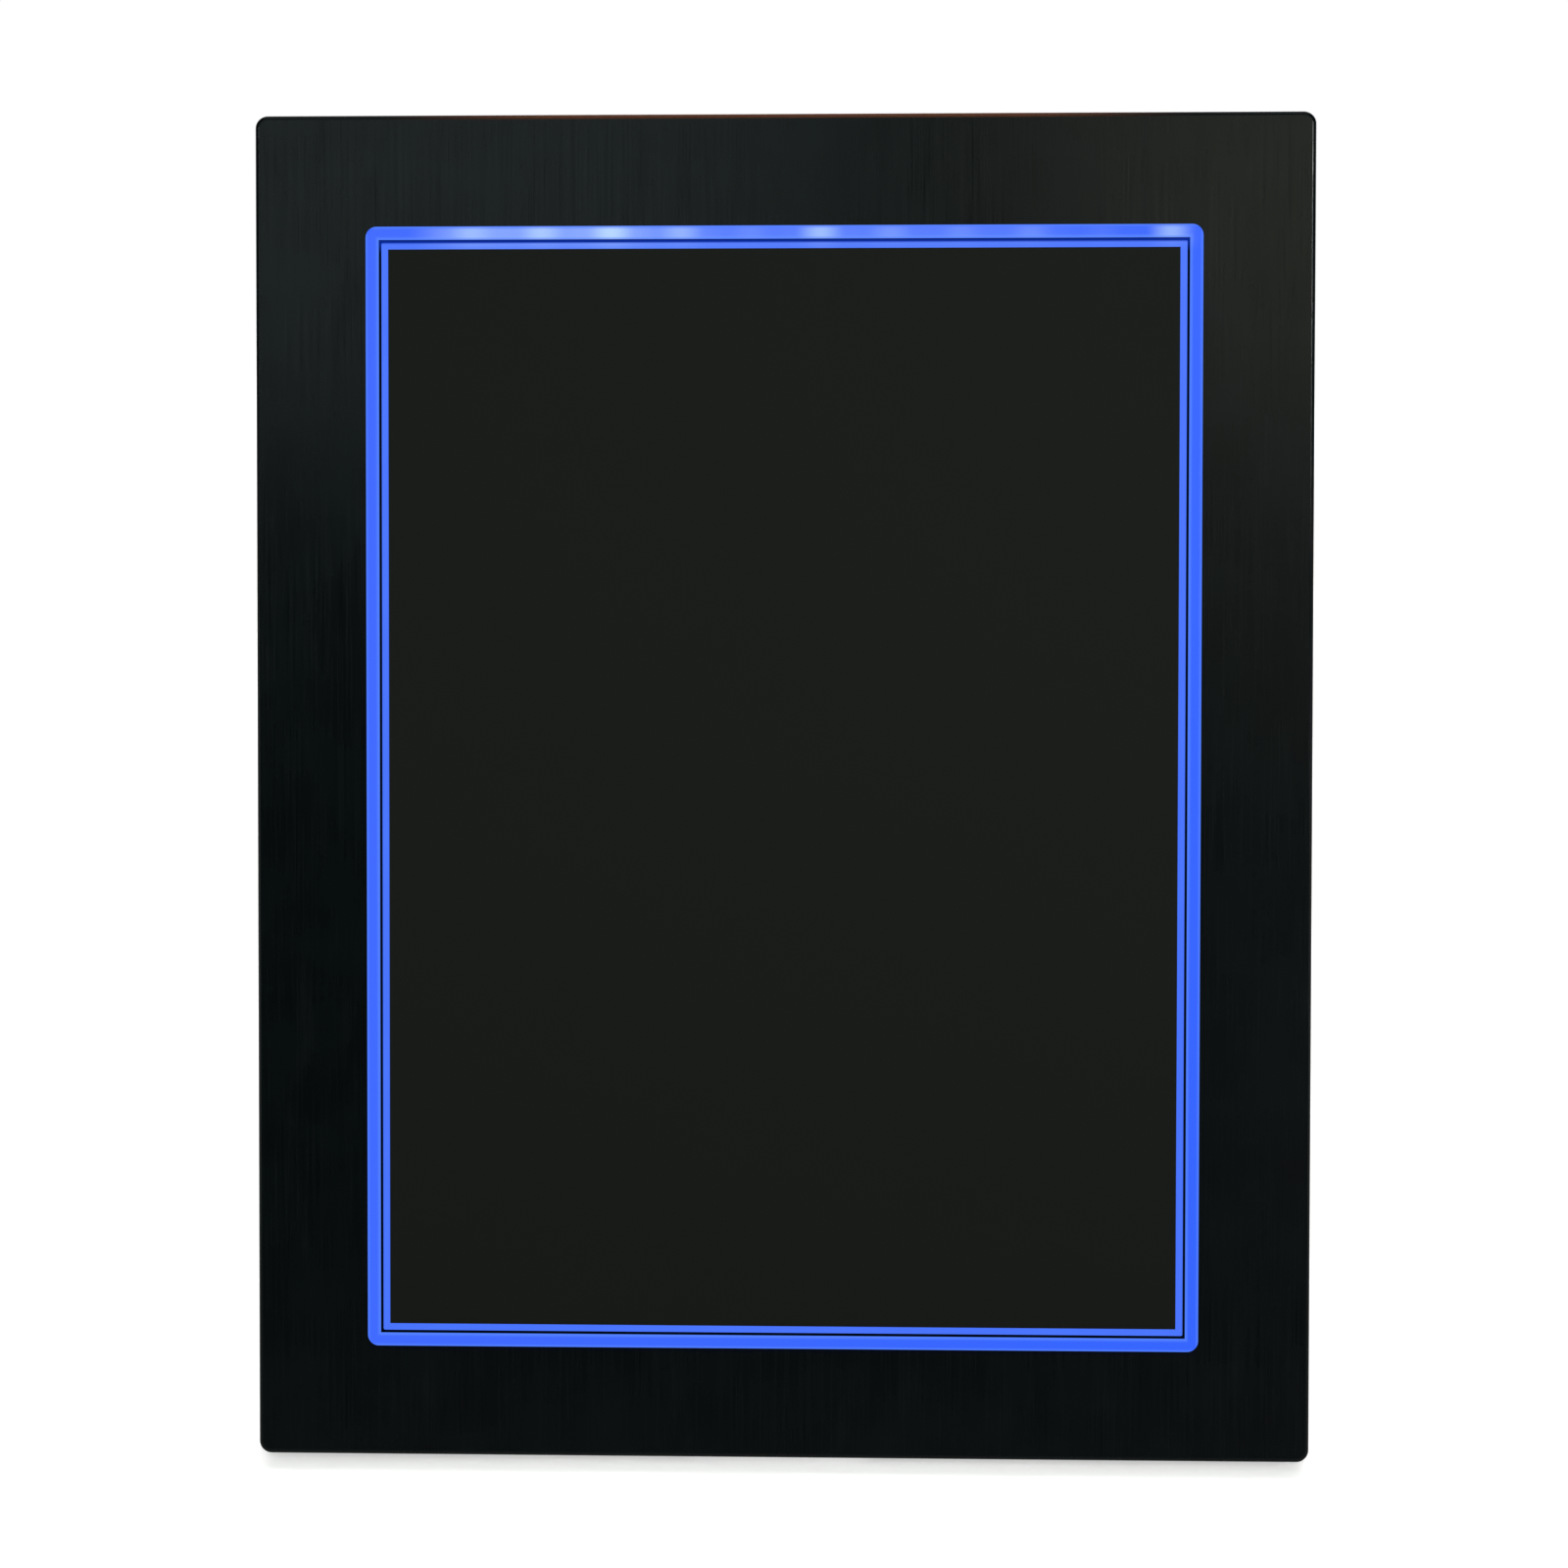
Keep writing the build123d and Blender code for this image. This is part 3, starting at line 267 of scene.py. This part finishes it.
class Finish:
    """A procedural material: one Principled surface and the nodes that feed it."""

    def __init__(self, name, roughness, metallic=0.0, specular=0.5):
        self.material = bpy.data.materials.new(name)
        self.material.use_nodes = True
        self.tree = self.material.node_tree
        self.surface = self.tree.nodes["Principled BSDF"]
        self.set("Roughness", roughness)
        self.set("Metallic", metallic)
        self.set("Specular IOR Level", specular)
        self.place = None

    def set(self, socket, value):
        """Constant on one of the surface's sockets."""
        self.surface.inputs[socket].default_value = value

    def add(self, kind, **properties):
        """New node of a kind, with its properties set."""
        node = self.tree.nodes.new(kind)
        for key, value in properties.items():
            setattr(node, key, value)
        return node

    def join(self, source, target):
        """Link from an output to an input."""
        self.tree.links.new(source, target)

    def board_place(self):
        """Position in the board's frame."""
        if self.place is None:
            coordinates = self.add("ShaderNodeTexCoord")
            mapping = self.add("ShaderNodeMapping")
            mapping.inputs["Rotation"].default_value = TO_BOARD.to_euler()
            mapping.inputs["Location"].default_value = TO_BOARD.to_translation()
            self.join(coordinates.outputs["Object"], mapping.inputs["Vector"])
            self.place = mapping.outputs["Vector"]
        return self.place

    def axis(self, name):
        """One coordinate of the position in the board's frame."""
        node = self.add("ShaderNodeSeparateXYZ")
        self.join(self.board_place(), node.inputs["Vector"])
        return node.outputs[name]

    def across(self):
        """Distance from the board's upright middle line."""
        return self.math("ABSOLUTE", self.axis("X"))

    def stretched(self, size):
        """Position in the board's frame, divided by the size of a pattern along each axis."""
        size = size if isinstance(size, tuple) else (size, size, size)
        mapping = self.add("ShaderNodeMapping")
        mapping.inputs["Scale"].default_value = [1 / length for length in size]
        self.join(self.board_place(), mapping.inputs["Vector"])
        return mapping.outputs["Vector"]

    def noise(self, size, detail=2.0, rough=0.5):
        """Noise whose grains have one size, or a size along each axis."""
        node = self.add("ShaderNodeTexNoise")
        node.inputs["Scale"].default_value = 1.0
        node.inputs["Detail"].default_value = detail
        node.inputs["Roughness"].default_value = rough
        self.join(self.stretched(size), node.inputs["Vector"])
        return node.outputs["Fac"]

    def cells(self, size):
        """Distance to the nearest cell centre, for foam and cast grain."""
        node = self.add("ShaderNodeTexVoronoi")
        node.inputs["Scale"].default_value = 1.0
        self.join(self.stretched(size), node.inputs["Vector"])
        return node.outputs["Distance"]

    def ranged(self, value, low, high, to_low, to_high, shape="LINEAR"):
        """Value moved from one range to another."""
        node = self.add("ShaderNodeMapRange", interpolation_type=shape)
        ends = {"From Min": low, "From Max": high, "To Min": to_low, "To Max": to_high}
        for socket, number in ends.items():
            node.inputs[socket].default_value = number
        self.join(value, node.inputs["Value"])
        return node.outputs["Result"]

    def math(self, operation, first, second=None):
        """Sum, product or other result of one or two values."""
        node = self.add("ShaderNodeMath", operation=operation)
        for socket, value in zip(node.inputs, (first, second)):
            if isinstance(value, (int, float)):
                socket.default_value = value
            elif value is not None:
                self.join(value, socket)
        return node.outputs["Value"]

    def product(self, first, *others):
        """Values multiplied with each other."""
        total = first
        for value in others:
            total = self.math("MULTIPLY", total, value)
        return total

    def weighed(self, first, second, share):
        """Sum of two values: a share of the second one and the rest of the first one."""
        return self.math("ADD", self.product(first, 1 - share), self.product(second, share))

    def mixed(self, share, first, second):
        """Colour between two colours, or between a socket and a colour."""
        node = self.add("ShaderNodeMix", data_type="RGBA")
        self.join(share, node.inputs["Factor"])
        for index, colour in ((MIX_FIRST, first), (MIX_SECOND, second)):
            if isinstance(colour, tuple):
                node.inputs[index].default_value = (*colour, 1.0)
            else:
                self.join(colour, node.inputs[index])
        return node.outputs[MIX_RESULT]

    def shaded(self, pattern, colour, shades):
        """Colour made darker and lighter by a pattern."""
        darker, lighter = (tuple(min(1.0, channel * factor) for channel in colour) for factor in shades)
        return self.mixed(pattern, darker, lighter)

    def colour(self, socket_or_colour, target="Base Color"):
        """Colour of the surface."""
        if isinstance(socket_or_colour, tuple):
            self.set(target, (*socket_or_colour, 1.0))
        else:
            self.join(socket_or_colour, self.surface.inputs[target])

    def glow(self, socket_or_colour, strength=1.0):
        """Light that the surface gives off."""
        self.colour(socket_or_colour, "Emission Color")
        self.set("Emission Strength", strength)

    def rough(self, pattern, low, high):
        """Roughness that follows a pattern."""
        self.join(self.ranged(pattern, *NOISE_RANGE, low, high), self.surface.inputs["Roughness"])

    def rough_about(self, pattern, middle, spread):
        """Roughness that follows a pattern to both sides of a middle value."""
        below, above = spread
        self.rough(pattern, middle + below, middle + above)

    def bump(self, value, depth, strength):
        """Relief of a pattern."""
        node = self.add("ShaderNodeBump")
        node.inputs["Strength"].default_value = strength
        node.inputs["Distance"].default_value = depth
        self.join(value, node.inputs["Height"])
        self.join(node.outputs["Normal"], self.surface.inputs["Normal"])


# Finishes
def under_ring(finish):
    """Share of painted shadow on the face just below the proud lower side of the ring."""
    bottom = INNER_LOW.z - RING_WIDTH
    side = INNER_HIGH.x + RING_WIDTH
    near = finish.ranged(finish.axis("Z"), bottom - RING_SHADE, bottom - RING_SHADE / 2, 0, 1)
    below = finish.ranged(finish.axis("Z"), bottom, bottom + RING_SHADE, 1, 0)
    beneath = finish.ranged(finish.across(), side - RING_SHADE, side, RING_SHADE_SHARE, 0)
    return finish.product(near, below, beneath)


def painted_edge_reflection(finish):
    """Mask of the painted warm reflection along the middle part of the face's upper edge."""
    upper = finish.ranged(finish.axis("Z"), FACE_TOP - REFLECTION_BAND, FACE_TOP - REFLECTION_BAND / 2, 0, 1)
    middle = finish.ranged(finish.across(), REFLECTION_HALF_LENGTH / 2, REFLECTION_HALF_LENGTH, 1, 0, SMOOTH)
    return finish.product(upper, middle)


def brushed_face():
    """Black sheet brushed up and down: fine hairlines over broad, faint streaks, with a painted warm
    reflection along its upper edge and a painted shadow below the ring.
    """
    finish = Finish("brushed_face", roughness=0.22, specular=FACE_SHEEN)
    hairlines = finish.noise(HAIRLINE_SIZE, detail=2.0, rough=0.6)
    streaks = finish.noise(STREAK_SIZE, detail=3.0, rough=0.6)
    lines = finish.weighed(hairlines, streaks, STREAK_SHARE)
    tone = finish.weighed(lines, finish.noise(CLOUD_SIZE, detail=3.0), CLOUD_SHARE)
    brushed = finish.shaded(tone, FACE_BLACK, FACE_SHADES)
    # Painted reflection: a warm brown line along the face's upper edge
    reflected = finish.mixed(painted_edge_reflection(finish), brushed, EDGE_REFLECTION_BROWN)
    # Painted shadow: near black on the face just below the ring
    finish.colour(finish.mixed(under_ring(finish), reflected, PAINTED_SHADE_BLACK))
    patches = finish.ranged(finish.noise(PATCH_SIZE, detail=4.0), *PATCH_RANGE, 0, 1, SMOOTH)
    dull = finish.product(patches, PATCH_DULLNESS)
    finish.rough(finish.math("ADD", lines, dull), *FACE_ROUGHNESS)
    finish.bump(lines, FACE_RELIEF, strength=0.6)
    return finish.material


def ring_outset(finish):
    """Distance outwards from the inner edge of the ring."""
    middle = (INNER_LOW.z + INNER_HIGH.z) / 2
    upright = finish.math("ABSOLUTE", finish.math("SUBTRACT", finish.axis("Z"), middle))
    outset_x = finish.math("SUBTRACT", finish.across(), INNER_HIGH.x)
    outset_z = finish.math("SUBTRACT", upright, INNER_HIGH.z - middle)
    return finish.math("MAXIMUM", outset_x, outset_z)


def upper_side(finish):
    """Mask of the upper side of the ring and of what lies inside it."""
    return finish.ranged(finish.axis("Z"), INNER_HIGH.z - RING_WIDTH, INNER_HIGH.z - RING_EDGE, 0, 1)


def top_glow(finish, spot_level, wash_level):
    """Light of the upper row where it lies close behind the surface: spots over a broader wash."""
    total = None
    for index, (spot_share, wash_share) in enumerate(zip(SPOT_SHARES, WASH_SHARES)):
        offset = finish.math("SUBTRACT", finish.axis("X"), LED_FIRST + index * LED_PITCH)
        distance = finish.math("ABSOLUTE", offset)
        for share, reach in ((spot_share * spot_level, SPOT_REACH), (wash_share * wash_level, LED_PITCH)):
            if share > 0:
                light = finish.ranged(distance, 0, reach, share, 0, SMOOTH)
                total = light if total is None else finish.math("ADD", total, light)
    return finish.product(total, upper_side(finish))


def ring_glow():
    """Translucent ring lit from behind: a painted highlight along both edges, the lights' spots on top, and
    painted shade on its walls.
    """
    finish = Finish("ring_glow", roughness=0.4, specular=0.08)
    finish.colour(UNLIT_BLUE)
    outset = ring_outset(finish)
    centre = finish.math("ABSOLUTE", finish.math("SUBTRACT", outset, RING_WIDTH / 2))
    # Painted highlight: a paler blue band along each edge of the ring
    edge = finish.ranged(centre, RING_WIDTH / 2 - RING_EDGE, RING_WIDTH / 2, 0, 1, SMOOTH)
    side = finish.ranged(finish.axis("X"), -INNER_HIGH.x, INNER_HIGH.x, 0, 1, SMOOTH)
    middle = finish.mixed(side, RING_BLUE, RING_DEEP_BLUE)
    blue = finish.mixed(edge, middle, RING_HIGHLIGHT_BLUE)
    outer = finish.ranged(outset, RING_WIDTH, RING_WIDTH - OUTER_RIM, OUTER_RIM_SHARE, 1, SMOOTH)
    inner = finish.ranged(outset, 0, INNER_RIM, INNER_RIM_SHARE, 1)
    hot = finish.product(top_glow(finish, 1, 1), outer, inner)
    lit = finish.mixed(hot, blue, RING_HOT)
    # Painted shade: the ring's walls fade from their glow to near black
    wall_shade = finish.ranged(finish.axis("Y"), WALL_SHADE_FRONT, WALL_SHADE_BACK, 0, 1)
    finish.glow(finish.mixed(wall_shade, lit, PAINTED_SHADE_BLACK))
    return finish.material


def guide_glow():
    """Clear slab whose edge light escapes at its margin, with a painted shadow of darker blue just below the
    upper seam.
    """
    finish = Finish("guide_glow", roughness=0.3, specular=0.08)
    finish.colour(UNLIT_BLUE)
    blue = finish.shaded(finish.noise(GUIDE_CLOUD, detail=1.0), GUIDE_BLUE, GUIDE_SHADES)
    lit = finish.mixed(top_glow(finish, GUIDE_SPOT_LEVEL, GUIDE_WASH_LEVEL), blue, RING_HOT)
    top = INNER_HIGH.z - SEAM_WIDTH
    # Painted shadow: darker blue on the guide just below the upper seam
    painted_shadow = finish.ranged(finish.axis("Z"), top - SEAM_SHADOW_BAND, top, 0, 1)
    finish.glow(finish.mixed(painted_shadow, lit, GUIDE_SHADOW_BLUE))
    return finish.material


def seam_line():
    """Dark gasket between the two lit bands, with a painted blue glow along its upper side."""
    finish = Finish("seam_line", roughness=0.8, specular=0.02)
    finish.colour(SEAM_BLACK)
    # Painted glow: blue along the seam's upper side, near black elsewhere
    finish.glow(finish.mixed(upper_side(finish), PAINTED_SHADE_BLACK, SEAM_GLOW_BLUE))
    return finish.material


def writing_black():
    """Matt black sheet with a very fine tooth."""
    finish = Finish("writing_black", roughness=0.75, specular=0.02)
    wiped = finish.noise(WIPE_SIZE, detail=3.0)
    finish.colour(finish.shaded(wiped, SHEET_BLACK, SHEET_SHADES))
    finish.rough(wiped, *SHEET_ROUGHNESS)
    finish.bump(finish.noise(SHEET_TOOTH), SHEET_RELIEF, strength=0.4)
    return finish.material


def moulded(name, colour, grain=CAST_GRAIN, depth=CAST_RELIEF, roughness=0.6):
    """Moulded plastic with a fine cast grain and slightly uneven sheen."""
    finish = Finish(name, roughness=roughness, specular=0.35)
    clouds = finish.noise(CAST_CLOUD, detail=3.0)
    finish.colour(finish.shaded(clouds, colour, CAST_SHADES))
    finish.rough_about(clouds, roughness, CAST_SPREAD)
    finish.bump(finish.cells(grain), depth, strength=0.6)
    return finish.material


def smooth_plastic(name, colour, roughness=0.35):
    """Smooth plastic with faint flow marks."""
    finish = Finish(name, roughness=roughness)
    flow = finish.noise(FLOW_SIZE, detail=3.0)
    finish.colour(finish.shaded(flow, colour, FLOW_SHADES))
    finish.rough_about(flow, roughness, FLOW_SPREAD)
    finish.bump(finish.noise(RIPPLE_SIZE), RIPPLE_RELIEF, strength=0.3)
    return finish.material


def rubber(name, colour):
    """Rubber with a dusty, pebbled skin."""
    finish = Finish(name, roughness=0.78, specular=0.3)
    dust = finish.noise(DUST_SIZE, detail=4.0)
    finish.colour(finish.shaded(dust, colour, DUST_SHADES))
    finish.rough(dust, *DUST_ROUGHNESS)
    finish.bump(finish.noise(PEBBLE_SIZE), PEBBLE_RELIEF, strength=0.5)
    return finish.material


def metal(name, colour, grain, roughness):
    """Metal drawn or brushed along one direction."""
    finish = Finish(name, roughness=roughness, metallic=1.0)
    finish.colour(finish.shaded(finish.noise(STAIN_SIZE, detail=3.0), colour, STAIN_SHADES))
    lines = finish.noise(grain, detail=3.0, rough=0.6)
    finish.rough_about(lines, roughness, DRAWN_SPREAD)
    finish.bump(lines, DRAWN_RELIEF, strength=0.5)
    return finish.material


def fibreboard():
    """Pressed board with short fibres."""
    finish = Finish("fibreboard", roughness=0.85, specular=0.2)
    fibres = finish.noise(FIBRE_SIZE, detail=4.0, rough=0.7)
    finish.colour(finish.mixed(fibres, FIBRE_DARK, FIBRE_PALE))
    finish.bump(fibres, FIBRE_RELIEF, strength=0.5)
    return finish.material


def foam():
    """Open-cell foam."""
    finish = Finish("foam", roughness=0.9, specular=0.1)
    pores = finish.cells(PORE_SIZE)
    finish.colour(finish.mixed(pores, FOAM_DARK, FOAM_PALE))
    finish.bump(pores, PORE_RELIEF, strength=0.8)
    return finish.material


def circuit(name, mask, track):
    """Circuit board: solder mask over faint tracks."""
    finish = Finish(name, roughness=0.32)
    bricks = finish.add("ShaderNodeTexBrick")
    bricks.inputs["Scale"].default_value = 1.0
    bricks.inputs["Mortar Size"].default_value = TRACK_SHARE
    bricks.inputs["Color1"].default_value = (0, 0, 0, 1)
    bricks.inputs["Color2"].default_value = (0, 0, 0, 1)
    bricks.inputs["Mortar"].default_value = (1, 1, 1, 1)
    turned = finish.add("ShaderNodeMapping")
    turned.inputs["Rotation"].default_value = (math.radians(90), 0, 0)
    finish.join(finish.stretched(TRACK_PITCH), turned.inputs["Vector"])
    finish.join(turned.outputs["Vector"], bricks.inputs["Vector"])
    tracks = bricks.outputs["Color"]
    finish.colour(finish.mixed(tracks, mask, track))
    finish.bump(tracks, TRACK_RELIEF, strength=0.6)
    return finish.material


def led_lens():
    """Lit dome of a light."""
    finish = Finish("led_lens", roughness=0.2, specular=0.4)
    finish.colour(LENS_BLUE)
    finish.glow(finish.mixed(finish.cells(LENS_CORE), LENS_CORE_BLUE, LENS_RIM_BLUE), LENS_GLOW)
    return finish.material


def insulation():
    """Coloured skin of the wires."""
    finish = Finish("insulation", roughness=0.4, specular=0.4)
    marks = finish.noise(WIRE_MARK)
    finish.colour(finish.mixed(marks, WIRE_DARK, WIRE_RED))
    finish.bump(marks, WIRE_RELIEF, strength=0.3)
    return finish.material


def finishes():
    """Finish of each material slot of the record."""
    return {
        "face_black": brushed_face(),
        "frame_plastic": moulded("frame_plastic", FRAME_BLACK, roughness=0.5),
        "ring_glow": ring_glow(),
        "seam_black": seam_line(),
        "guide_glow": guide_glow(),
        "sheet_black": writing_black(),
        "reflector_white": smooth_plastic("reflector_white", REFLECTOR_WHITE, roughness=0.6),
        "backing_fibreboard": fibreboard(),
        "foam_grey": foam(),
        "wire_insulation": insulation(),
        "cover_plastic": moulded("cover_plastic", COVER_BLACK, COARSE_GRAIN, COARSE_RELIEF),
        "screw_steel": metal("screw_steel", SCREW_STEEL, SCREW_GRAIN, roughness=0.32),
        "plate_steel": metal("plate_steel", PLATE_STEEL, PLATE_GRAIN, roughness=0.36),
        "bumper_rubber": rubber("bumper_rubber", BUMPER_BLACK),
        "pad_rubber": rubber("pad_rubber", PAD_BLACK),
        "pin_steel": metal("pin_steel", PIN_STEEL, PIN_GRAIN, roughness=0.22),
        "leg_plastic": moulded("leg_plastic", COVER_BLACK, COARSE_GRAIN, COARSE_RELIEF),
        "circuit_green": circuit("circuit_green", GREEN_MASK, GREEN_TRACK),
        "chip_black": moulded("chip_black", CHIP_BLACK, CHIP_GRAIN, roughness=0.5),
        "capacitor_can": metal("capacitor_can", CAN_ALUMINIUM, CAN_GRAIN, roughness=0.3),
        "header_white": smooth_plastic("header_white", HEADER_WHITE),
        "jack_plastic": smooth_plastic("jack_plastic", JACK_BLACK, roughness=0.4),
        "contact_brass": metal("contact_brass", CONTACT_BRASS, CONTACT_GRAIN, roughness=0.25),
        "rail_aluminium": metal("rail_aluminium", RAIL_ALUMINIUM, RAIL_GRAIN, roughness=0.4),
        "led_board_white": circuit("led_board_white", WHITE_MASK, WHITE_TRACK),
        "led_lens": led_lens(),
        "plunger_plastic": smooth_plastic("plunger_plastic", PLUNGER_BLACK),
        "button_plastic": moulded("button_plastic", BUTTON_GREY, BUTTON_GRAIN, roughness=0.5),
    }


def dress(by_slot):
    """Puts the finish of its slot on every node."""
    for subpart in frame["record"]["subparts"]:
        mesh = nodes[subpart["node"]].data
        mesh.materials.clear()
        mesh.materials.append(by_slot[subpart["material_slot"]])


# Studio
def make_floor():
    """Large pale disc that glows more the farther it is from the board."""
    mesh = bpy.data.meshes.new("studio_floor")
    shape = bmesh.new()
    bmesh.ops.create_circle(shape, cap_ends=True, radius=FLOOR_RADIUS, segments=FLOOR_SEGMENTS)
    shape.to_mesh(mesh)
    shape.free()
    floor = bpy.data.objects.new("studio_floor", mesh)
    bpy.context.scene.collection.objects.link(floor)
    finish = Finish("studio_floor", roughness=0.9, specular=0.1)
    finish.colour(FLOOR_COLOUR)
    finish.glow(WHITE)
    coordinates = finish.add("ShaderNodeTexCoord")
    distance = finish.add("ShaderNodeVectorMath", operation="LENGTH")
    finish.join(coordinates.outputs["Object"], distance.inputs[0])
    reach = (FLOOR_NEAR, FLOOR_FAR, FLOOR_NEAR_GLOW, FLOOR_FAR_GLOW)
    level = finish.ranged(distance.outputs["Value"], *reach, SMOOTH)
    finish.join(level, finish.surface.inputs["Emission Strength"])
    mesh.materials.append(finish.material)


def make_sky():
    """Even pale surroundings, brighter to the eye than the light that they give."""
    world = bpy.data.worlds.new("studio_sky")
    bpy.context.scene.world = world
    world.use_nodes = True
    tree = world.node_tree
    background = tree.nodes["Background"]
    path = tree.nodes.new("ShaderNodeLightPath")
    level = tree.nodes.new("ShaderNodeMapRange")
    level.inputs["To Min"].default_value = SKY_LIGHT
    level.inputs["To Max"].default_value = SKY_SEEN
    tree.links.new(path.outputs["Is Camera Ray"], level.inputs["Value"])
    tree.links.new(level.outputs["Result"], background.inputs["Strength"])
    background.inputs["Color"].default_value = (*WHITE, 1.0)


def make_light(name, place, target, size, power, tint, spread):
    """Soft rectangular light that points at a target."""
    light = bpy.data.lights.new(name, "AREA")
    light.shape = "RECTANGLE"
    light.color = tint
    light.size, light.size_y = size
    light.energy = power
    light.spread = spread
    lamp = bpy.data.objects.new(name, light)
    lamp.location = place
    lamp.rotation_euler = (Vector(target) - Vector(place)).to_track_quat("-Z", "Y").to_euler()
    lamp.visible_camera = False
    bpy.context.scene.collection.objects.link(lamp)


def make_camera():
    """Camera at the photograph's angle, set out in the board's frame."""
    data = bpy.data.cameras.new("camera")
    data.lens = FOCAL_LENGTH
    data.sensor_width = SENSOR_WIDTH
    camera = bpy.data.objects.new("camera", data)
    turned = Matrix.Rotation(math.radians(CAMERA_TILT), 4, "X")
    turned @= Matrix.Rotation(math.radians(CAMERA_PAN), 4, "Y")
    turned @= Matrix.Rotation(math.radians(CAMERA_ROLL), 4, "Z")
    camera.matrix_world = BOARD @ Matrix.Translation(CAMERA_PLACE) @ turned
    bpy.context.scene.collection.objects.link(camera)
    bpy.context.scene.camera = camera


bpy.context.scene.view_settings.view_transform = "Standard"
dress(finishes())
make_floor()
make_sky()
for settings in LIGHTS:
    make_light(*settings)
make_camera()
